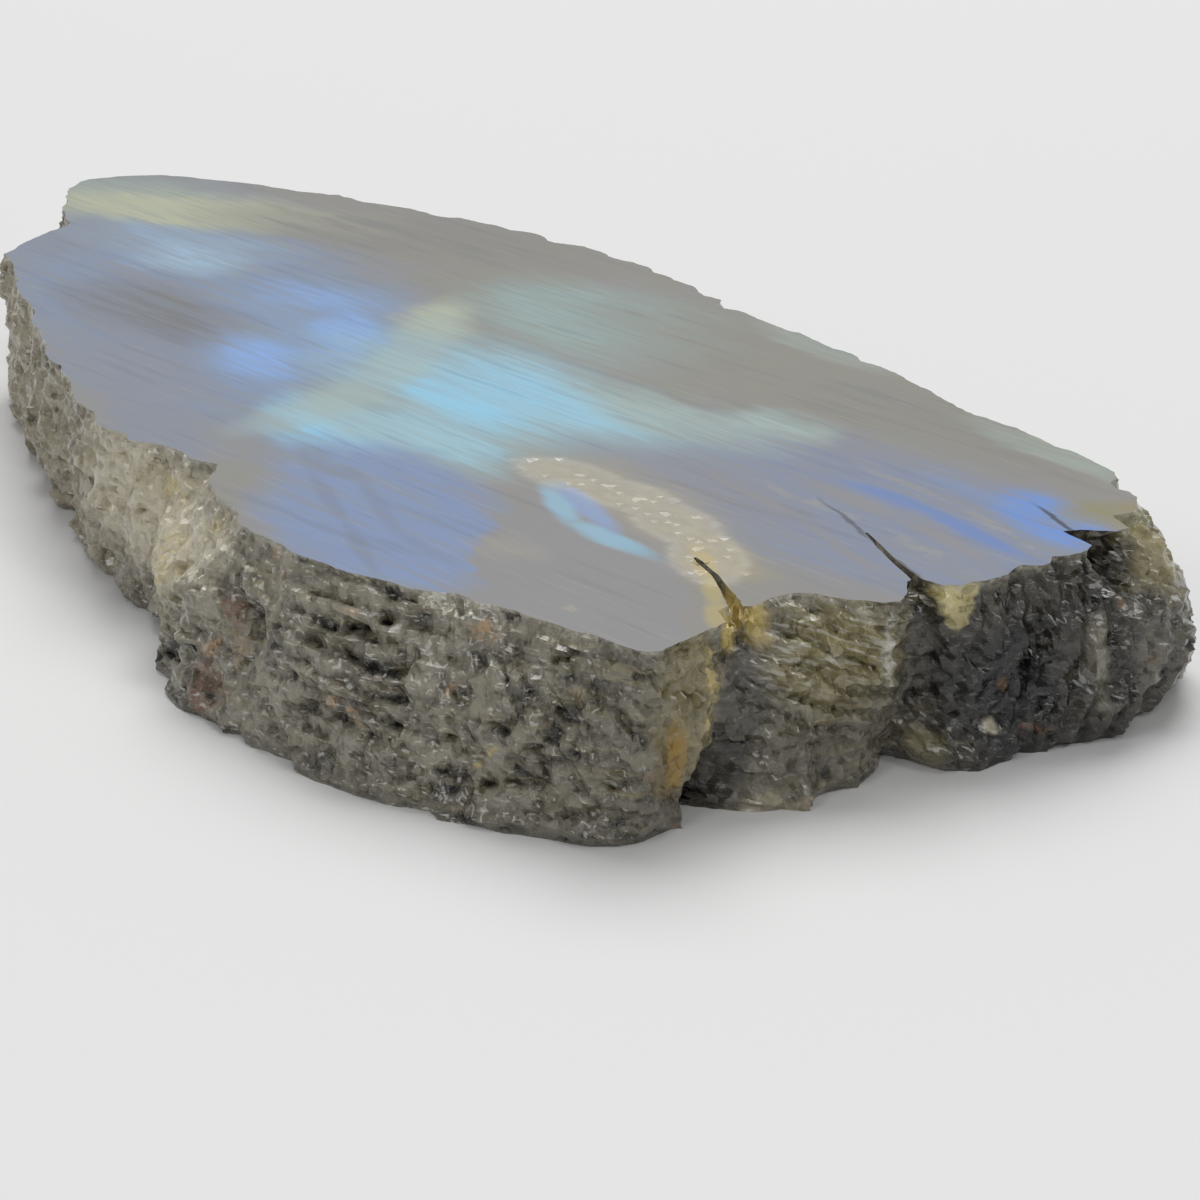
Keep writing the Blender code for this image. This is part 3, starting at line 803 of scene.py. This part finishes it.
class Graph:
    """The nodes of one material."""

    def __init__(self, name, colours=None):
        self.colours = colours
        self.material = bpy.data.materials.new(name)
        self.material.use_nodes = True
        self.nodes = self.material.node_tree.nodes
        self.links = self.material.node_tree.links
        self.nodes.clear()

    def node(self, kind, sockets, **choices):
        """Adds a node, makes its choices first, then fills or links its sockets."""
        node = self.nodes.new("ShaderNode" + kind)
        for name, value in choices.items():
            setattr(node, name, value)
        for key, value in sockets.items():
            source = value.socket if isinstance(value, Amount) else value
            if isinstance(source, bpy.types.NodeSocket):
                self.links.new(source, node.inputs[key])
            elif node.inputs[key].type == "RGBA" and len(source) == 3:
                node.inputs[key].default_value = (*source, 1.0)
            else:
                node.inputs[key].default_value = source
        return node

    def place(self):
        """Where a point is on the stone, in millimetres."""
        spot = self.node("TexCoord", {}).outputs["Object"]
        return self.vector("MULTIPLY", spot, (1.0 / MM, 1.0 / MM, 1.0 / MM))

    def vector(self, operation, first, second):
        """Vector arithmetic."""
        return self.node("VectorMath", {0: first, 1: second}, operation=operation).outputs[0]

    def length(self, vector):
        """Length of a vector."""
        node = self.node("VectorMath", {0: vector}, operation="LENGTH")
        return Amount(self, node.outputs["Value"])

    def fade(self, amount, start, end, low=0.0, high=1.0):
        """Eases from low to high as the amount goes from start to end."""
        sockets = {"Value": amount, "From Min": start, "From Max": end, "To Min": low, "To Max": high}
        node = self.node("MapRange", sockets, interpolation_type="SMOOTHSTEP")
        return Amount(self, node.outputs["Result"])

    def paint(self, colour):
        """One of the stone's colours where a name is given, else the colour itself."""
        return tuple(getattr(self.colours, colour)) if isinstance(colour, str) else colour

    def blend(self, share, first, second):
        """Mixes two colours."""
        sockets = {0: share, 6: self.paint(first), 7: self.paint(second)}
        return self.node("Mix", sockets, data_type="RGBA", clamp_factor=True).outputs[2]

    def channel(self, colour, number):
        """One channel of a colour as a plain number."""
        return Amount(self, self.node("SeparateColor", {0: colour}).outputs[number])

    def local(self, place, centre, half, turn=0.0):
        """The place as seen from a patch, one unit long at its edge. Two half sizes leave out the height."""
        along = Vector((math.cos(turn), math.sin(turn), 0.0))
        ways = (along, Vector((-along.y, along.x, 0.0)), Vector((0.0, 0.0, 1.0)))
        rows = [way / part for way, part in zip(ways, half)]
        shift = Vector([-row.dot(Vector(centre)) for row in rows]).to_3d()
        if turn == 0.0:
            sockets = {0: place, 1: sum(rows, Vector()), 2: shift}
            return self.node("VectorMath", sockets, operation="MULTIPLY_ADD").outputs[0]
        parts = {}
        for axis, row in enumerate(rows):
            node = self.node("VectorMath", {0: place, 1: row}, operation="DOT_PRODUCT")
            parts[axis] = node.outputs["Value"]
        turned = self.node("CombineXYZ", parts).outputs[0]
        return self.vector("ADD", turned, shift)

    def patch(self, place, centre, half, soft, strength, turn=0.0):
        """Mask of one soft edged patch, as strong as asked at its middle."""
        reach = self.length(self.local(place, centre, half, turn))
        return self.fade(reach, 1.0 + soft, 1.0 - soft, 0.0, strength)

    def grain(self, place, size, detail=3.0, rough=0.55, stretch=(1.0, 1.0, 1.0), turn=0.0):
        """Noise about one size wide, from 0 to 1, stretched along its own axes."""
        half = tuple(size * part for part in stretch)
        local = self.local(place, (0.0, 0.0, 0.0), half, turn)
        sockets = {"Vector": local, "Scale": 1.0, "Detail": detail, "Roughness": rough}
        return self.node("TexNoise", sockets)

    def noise(self, *grain):
        """The grain as a plain number, ready for sums."""
        return Amount(self, self.grain(*grain).outputs["Fac"])

    def wander(self, place, size, reach, stretch=(1.0, 1.0, 1.0), turn=0.0):
        """A small shift of the place that changes with it, up to about half the reach each way."""
        noise_colour = self.grain(place, size, 3.0, 0.55, stretch, turn).outputs["Color"]
        centred = self.vector("SUBTRACT", noise_colour, (0.5, 0.5, 0.5))
        return self.vector("MULTIPLY", centred, reach)

    def cells(self, place, size):
        """Cell pattern about one size wide."""
        local = self.local(place, (0.0, 0.0, 0.0), (size,) * 3)
        return self.node("TexVoronoi", {"Vector": local, "Scale": 1.0})

    def facets(self, place, size, tilt):
        """Shading directions of small broken facets, each tilted its own way."""
        turned = self.vector("SUBTRACT", self.cells(place, size).outputs["Color"], (0.5, 0.5, 0.5))
        straight = self.node("NewGeometry", {}).outputs["Normal"]
        leaning = self.vector("ADD", straight, self.vector("MULTIPLY", turned, (2.0 * tilt,) * 3))
        return self.node("VectorMath", {0: leaning}, operation="NORMALIZE").outputs[0]

    def bump(self, strength, depth, height, **sockets):
        """Fine relief in the shading, from a varying height; its depth in millimetres."""
        sockets.update({"Strength": strength, "Distance": depth * MM, "Height": height})
        return self.node("Bump", sockets).outputs[0]

    def off_course(self, place, course, width):
        """How far off a course a place is, in widths: a long narrow oval over each straight run."""
        nearest = None
        for first, second in zip(course, course[1:]):
            start = Vector(first).to_3d()
            end = Vector(second).to_3d()
            run = end - start
            centre = tuple((start + end) / 2.0)
            half = (0.5 * run.length + width, width)
            distance = self.length(self.local(place, centre, half, math.atan2(run.y, run.x)))
            nearest = distance if nearest is None else nearest.least(distance)
        return nearest

    def shader(self, sockets):
        """The stone's own shader, joined to the output."""
        shader = self.node("BsdfPrincipled", sockets)
        self.node("OutputMaterial", {"Surface": shader.outputs[0]})


def paint_zones(graph, place, colour, flow):
    """Lays the soft patches of colour over the ground, each let through as the stripes flow."""
    for zone in ZONES:
        centre = (zone.x, zone.y, STONE_TOP)
        half = (zone.half_length, zone.half_width)
        mask = graph.patch(place, centre, half, zone.soft, zone.strength, math.radians(zone.turn))
        colour = graph.blend(mask * flow, colour, zone.colour)
    return colour


def polished_material(colours):
    """The polished face: milky ground, patches of flash, stripes, veins and a clear polish."""
    graph = Graph("polished_labradorite", colours)
    place = graph.place()
    wander = graph.wander(place, 9.0, (11.0, 7.0, 0.0), (2.2, 0.8, 1.0), STRIPE_TURN)
    fine_wander = graph.wander(place, 2.2, (3.0, 2.2, 0.0), (2.5, 0.7, 1.0), STRIPE_TURN)
    warped = graph.vector("ADD", graph.vector("ADD", place, wander), fine_wander)
    stripes = graph.noise(place, 1.3, 2.0, 0.5, (11.0, 1.0, 1.0), STRIPE_TURN)
    fine_stripes = graph.noise(place, 0.45, 2.0, 0.5, (16.0, 1.0, 1.0), STRIPE_TURN)
    cloud = graph.noise(place, 6.0, 4.0, 0.6)

    colour = graph.blend(graph.fade(cloud, 0.35, 0.65), "ground", "far_brown")
    flow = STRIPE_LOW + STRIPE_SWING * graph.fade(0.6 * stripes + 0.4 * fine_stripes, 0.36, 0.64)
    colour = paint_zones(graph, warped, colour, flow)
    dark = graph.fade(stripes, 0.54, 0.7) * 0.3
    colour = graph.blend(dark, colour, "dark_grey")
    pale = graph.fade(fine_stripes, 0.56, 0.74) * 0.22
    colour = graph.blend(pale, colour, "cream")
    line_wander = graph.vector("MULTIPLY", fine_wander, (0.4, 0.5, 0.0))
    line_place = graph.vector("ADD", place, line_wander)
    breaks = graph.fade(graph.noise(place, 1.6, 3.0, 0.6, (1.6, 0.8, 1.0), STRIPE_TURN), 0.44, 0.58)
    off_vein = graph.off_course(line_place, PIT_COURSE, PIT_REACH)
    colour = graph.blend(graph.fade(off_vein, 1.15, 0.45, 0.0, 0.75), colour, "vein_tan")
    colour = graph.blend(graph.fade(off_vein, 0.8, 0.25, 0.0, 0.7) * breaks, colour, "cream")
    for vein in VEINS:
        off_line = graph.off_course(line_place, vein.course, vein.width)
        mask = graph.fade(off_line, 1.35, 0.45, 0.0, vein.strength)
        if vein.colour == "cream":
            mask = mask * breaks
        colour = graph.blend(mask, colour, vein.colour)

    depth = Amount(graph, graph.node("SeparateXYZ", {0: place}).outputs["Z"])
    pit_mask = graph.fade(depth, STONE_TOP - 0.02, STONE_TOP - 0.22)
    colour = graph.blend(pit_mask * 0.55, colour, "vein_tan")

    roughness = 0.16 + 0.1 * cloud + graph.fade(off_vein, 1.0, 0.5, 0.0, 0.5)
    graph.shader({
        "Base Color": colour, "Roughness": roughness, "IOR": REFRACTION, "Coat Weight": 0.35,
        "Coat Roughness": 0.05,
    })
    return graph.material


def rim_material(colours):
    """The broken rim: dark olive grey stone, glossy where it cleaved, with stains and clear thin parts,
    painted shade in its hollows, recesses and lowest part, and painted glints.
    """
    graph = Graph("broken_labradorite", colours)
    place = graph.place()
    warped = graph.vector("ADD", place, graph.wander(place, 3.0, (4.0, 4.0, 3.5)))
    firm = graph.vector("ADD", place, graph.wander(place, 1.2, (1.0, 1.0, 1.0)))
    cloud = graph.noise(place, 2.6, 5.0, 0.65)
    fine = graph.noise(place, 0.7, 4.0, 0.65)
    layers = graph.noise(place, 1.0, 3.0, 0.6, (5.0, 5.0, 0.55))
    chips_tone = graph.channel(graph.cells(place, 1.5).outputs["Color"], 0)

    parts = graph.node("SeparateXYZ", {0: place}).outputs
    height = Amount(graph, parts["Z"])
    blunt = graph.fade(parts["X"], 52.0, 70.0)
    hollow = Amount(graph, graph.node("Attribute", {}, attribute_name=HOLLOW).outputs["Fac"])
    # Partly the stone's own mottling, partly painted shade: the hollows of the relief are painted darker and
    # the raised parts lighter.
    tone_and_hollow_shade = 0.42 * cloud + 0.26 * fine + 0.14 * layers + 0.1 * chips_tone + 0.3 * (1.0 - hollow)
    colour = graph.blend(graph.fade(tone_and_hollow_shade, 0.44, 0.58), "black_rim", "dark_rim")
    light = graph.fade(tone_and_hollow_shade, 0.485, 0.685) * (1.0 - 0.45 * blunt)
    colour = graph.blend(light, colour, "grey_rim")
    colour = graph.blend(graph.fade(layers, 0.5, 0.72) * 0.4, colour, "olive_glass")
    # Painted shade: the lowest part of the rim is darkened towards black, near the floor.
    foot = graph.fade(height, 1.7, 0.2, 0.0, 0.36)
    colour = graph.blend(foot, colour, "black_rim")
    flow = 0.45 + 0.9 * fine
    speckled = graph.fade(fine, 0.4, 0.58)
    for spot in RIM_SPOTS:
        spot_place = warped if spot.loose else firm
        mask = graph.patch(spot_place, spot.centre, spot.half, spot.soft, spot.strength)
        share = speckled if spot.colour in SPECK_COLOURS else flow
        colour = graph.blend(mask * share, colour, spot.colour)
    # Painted shade: the deepest hollows of the relief are darkened further towards black.
    deep = graph.fade(hollow, 0.6, 0.95) * 0.42
    colour = graph.blend(deep, colour, "black_rim")
    speck = graph.cells(place, 2.6)
    chosen = graph.channel(speck.outputs["Color"], 1)
    speck_mask = graph.fade(speck.outputs["Distance"], 0.3, 0.14) * graph.fade(chosen, 0.94, 0.96)
    colour = graph.blend(speck_mask * 0.75 * (1.0 - 0.7 * blunt), colour, "amber")
    sliver_sockets = {
        "Vector": place, "Location": SLIVER_CENTRE, "Rotation": SLIVER_TURN, "Scale": SLIVER_HALF,
    }
    sliver = graph.node("Mapping", sliver_sockets, vector_type="TEXTURE").outputs[0]
    sliver_mask = graph.fade(graph.length(sliver), 1.2, 0.7, 0.0, 0.85)
    colour = graph.blend(sliver_mask, colour, "straw")
    # Pale chips along the polished face's edge, partly a painted highlight.
    edge = graph.fade(height, STONE_TOP - 0.75, STONE_TOP - 0.05)
    colour = graph.blend(edge * graph.fade(fine, 0.42, 0.6) * 0.7, colour, "edge_chips_and_highlight")
    # Painted glints: short level dashes of white laid into the rim's colour, fewer at the blunt end.
    glint_dashes = graph.fade(graph.noise(place, 0.42, 2.0, 0.5, (2.4, 2.4, 0.6)), 0.6, 0.72)
    colour = graph.blend(glint_dashes * (0.7 - 0.55 * blunt), colour, "glint")
    colour = slanted_glints(graph, place, parts, colour)

    roughness = graph.fade(tone_and_hollow_shade, 0.45, 0.85, 0.18, 0.38)
    relief = 0.55 * fine + 0.3 * graph.noise(place, 0.28, 3.0, 0.6)
    relief = relief + 0.35 * Amount(graph, graph.cells(place, 0.9).outputs["Distance"])
    bump = graph.bump(0.6, 0.3, relief, Normal=graph.facets(place, 0.75, 0.5))
    graph.shader({
        "Base Color": colour, "Roughness": roughness, "IOR": REFRACTION, "Coat Weight": 0.5,
        "Coat Roughness": 0.08, "Normal": bump,
    })
    return graph.material


def slanted_glints(graph, place, parts, colour):
    """White cleavage glints in slanted rows on the middle lobe."""
    level = Amount(graph, parts["Z"]) + GLINT_SLANT * Amount(graph, parts["Y"])
    slanted = graph.node("CombineXYZ", {0: parts["X"], 1: parts["Y"], 2: level}).outputs[0]
    rows = graph.fade(graph.noise(slanted, 0.75, 2.0, 0.5, (3.0, 3.0, 0.5)), 0.52, 0.64)
    where = graph.patch(place, GLINT_CENTRE, GLINT_HALF, 0.4, 0.62)
    return graph.blend(rows * where, colour, "glint")


def sawn_material(colours):
    """The sawn underside: dull, with faint arcs of the saw and ghosts of the stripes."""
    graph = Graph("sawn_labradorite", colours)
    place = graph.place()
    cloud = graph.noise(place, 8.0, 5.0, 0.6, (2.0, 1.0, 1.0), STRIPE_TURN)
    stripes = graph.noise(place, 1.6, 3.0, 0.6, (9.0, 1.0, 1.0), STRIPE_TURN)
    colour = graph.blend(graph.fade(cloud, 0.35, 0.65), "dark_rim", "grey_rim")
    colour = graph.blend(graph.fade(stripes, 0.45, 0.7) * 0.5, colour, "slate_blue")
    saw = graph.node(
        "TexWave",
        {"Vector": graph.local(place, SAW_CENTRE, (1.0, 1.0, 1.0)), "Scale": 0.55,
         "Distortion": 1.5, "Detail": 2.0},
        wave_type="RINGS", rings_direction="Z",
    ).outputs["Fac"]
    grain = graph.noise(place, 0.3, 3.0, 0.6)
    bump = graph.bump(0.35, 0.06, 0.5 * Amount(graph, saw) + 0.6 * grain)
    graph.shader({"Base Color": colour, "Roughness": 0.55 + 0.15 * grain, "IOR": REFRACTION, "Normal": bump})
    return graph.material


def floor_material(colour):
    """Plain pale floor."""
    graph = Graph("pale_floor")
    graph.shader({"Base Color": tuple(colour), "Roughness": 0.75, "Specular IOR Level": 0.2})
    return graph.material


class SLICE_OT_build_stage(bpy.types.Operator):
    """Makes the camera, the floor and the lights."""

    bl_idname = "slice.build_stage"
    bl_label = "Build Stage"

    def execute(self, context):
        stage = settings("slice_stage")
        self.add_camera(context, stage)
        self.add_floor(context, stage)
        self.add_light(context, "key_light", KEY_PLACE, KEY_SIZE, stage.key_power)
        for number, place in enumerate(GLINT_PLACES, start=1):
            self.add_light(context, f"glint_light_{number}", place, GLINT_SIZE, stage.glint_power)
        self.set_world(context, stage)
        return {"FINISHED"}

    def add_camera(self, context, stage):
        data = bpy.data.cameras.new("photo_camera")
        data.sensor_width = SENSOR_WIDTH
        data.lens = stage.lens
        data.clip_start, data.clip_end = SIGHT
        camera = bpy.data.objects.new("photo_camera", data)
        camera.location = stage.camera_place
        camera.rotation_euler = (math.pi / 2.0 - stage.camera_dip, 0.0, stage.camera_turn)
        context.scene.collection.objects.link(camera)
        context.scene.camera = camera

    def add_floor(self, context, stage):
        skin = bmesh.new()
        bmesh.ops.create_grid(skin, x_segments=1, y_segments=1, size=stage.floor_size / 2.0)
        mesh = bpy.data.meshes.new("floor")
        skin.to_mesh(mesh)
        skin.free()
        mesh.materials.append(floor_material(stage.floor_colour))
        floor = bpy.data.objects.new("floor", mesh)
        context.scene.collection.objects.link(floor)

    def add_light(self, context, name, place, size, power):
        data = bpy.data.lights.new(name, "AREA")
        data.size = size
        data.energy = power
        light = bpy.data.objects.new(name, data)
        light.location = place
        light.rotation_euler = (-Vector(place)).to_track_quat("-Z", "Y").to_euler()
        context.scene.collection.objects.link(light)

    def set_world(self, context, stage):
        world = bpy.data.worlds.new("white_room")
        world.use_nodes = True
        background = world.node_tree.nodes["Background"]
        background.inputs["Color"].default_value = (1.0, 1.0, 1.0, 1.0)
        background.inputs["Strength"].default_value = stage.sky_strength
        context.scene.world = world
        context.scene.view_settings.view_transform = "Standard"


class SLICE_OT_build_stone(bpy.types.Operator):
    """Makes the stone: a finer copy of the CAD solid, with its three finishes."""

    bl_idname = "slice.build_stone"
    bl_label = "Build Stone"

    def execute(self, context):
        stone = settings("slice_stone")
        colours = settings("slice_colours")
        noise.seed_set(RELIEF_SEED)
        skin = merged_copy(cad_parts[NODE])
        refine_rim(skin, stone.rim_cuts)
        soften_rim(skin)
        roughen_rim(skin, stone)
        pit_vein(skin)
        self.add_finish(skin)
        mesh = bpy.data.meshes.new("stone_slice")
        bmesh.ops.triangulate(skin, faces=skin.faces)
        skin.to_mesh(mesh)
        skin.free()
        self.clear_old_normals(mesh)
        for material in (rim_material(colours), polished_material(colours), sawn_material(colours)):
            mesh.materials.append(material)
        mesh.set_sharp_from_angle(angle=SHARP_ANGLE)
        for face in mesh.polygons:
            face.use_smooth = face.material_index == BROKEN
        piece = bpy.data.objects.new("stone_slice", mesh)
        context.scene.collection.objects.link(piece)
        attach(piece, BODY)
        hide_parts(NODE)
        return {"FINISHED"}

    def clear_old_normals(self, mesh):
        """Drops the shading directions that came along with the CAD mesh."""
        if "custom_normal" in mesh.attributes:
            mesh.attributes.remove(mesh.attributes["custom_normal"])

    def add_finish(self, skin):
        """Sets which finish each face has."""
        skin.normal_update()
        lowest_pit = (STONE_TOP - PIT_DEPTH - PIT_SLACK) * MM
        for face in skin.faces:
            height = face.calc_center_median().z
            if face.normal.z > PIT_TILT and height > lowest_pit and inside_top(face):
                face.material_index = POLISHED
            elif face.normal.z < -SAWN_TILT and height < SAWN_SLACK * MM:
                face.material_index = SAWN


def inside_top(face):
    """Whether a face belongs to the polished plane or the pits sunk in it."""
    if is_level(face, STONE_TOP):
        return True
    centre = face.calc_center_median() / MM
    return segment_distance(centre.x, centre.y, PIT_COURSE) < PIT_REACH + PIT_GRID_STEP


class SLICE_PT_panel(bpy.types.Panel):
    """Sizes and colours of the slice, and its build buttons."""

    bl_idname = "SLICE_PT_panel"
    bl_label = "Stone Slice"
    bl_space_type = "VIEW_3D"
    bl_region_type = "UI"
    bl_category = "Stone Slice"

    def draw(self, context):
        layout = self.layout
        for group in GROUPS:
            box = layout.box()
            for name in GROUPS[group].__annotations__:
                box.prop(settings(group), name)
        layout.operator(SLICE_OT_build_stage.bl_idname)
        layout.operator(SLICE_OT_build_stone.bl_idname)


GROUPS = {
    "slice_stage": SLICE_PG_stage,
    "slice_stone": SLICE_PG_stone,
    "slice_colours": SLICE_PG_colours,
}
CLASSES = (*GROUPS.values(), SLICE_OT_build_stage, SLICE_OT_build_stone, SLICE_PT_panel)


def register():
    for item in CLASSES:
        bpy.utils.register_class(item)
    for name, group in GROUPS.items():
        setattr(bpy.types.Scene, name, PointerProperty(type=group))


def unregister():
    for name in GROUPS:
        delattr(bpy.types.Scene, name)
    for item in reversed(CLASSES):
        bpy.utils.unregister_class(item)


def main():
    """Builds the stage and the stone."""
    register()
    bpy.ops.slice.build_stage()
    bpy.ops.slice.build_stone()


if __name__ == "__main__":
    main()
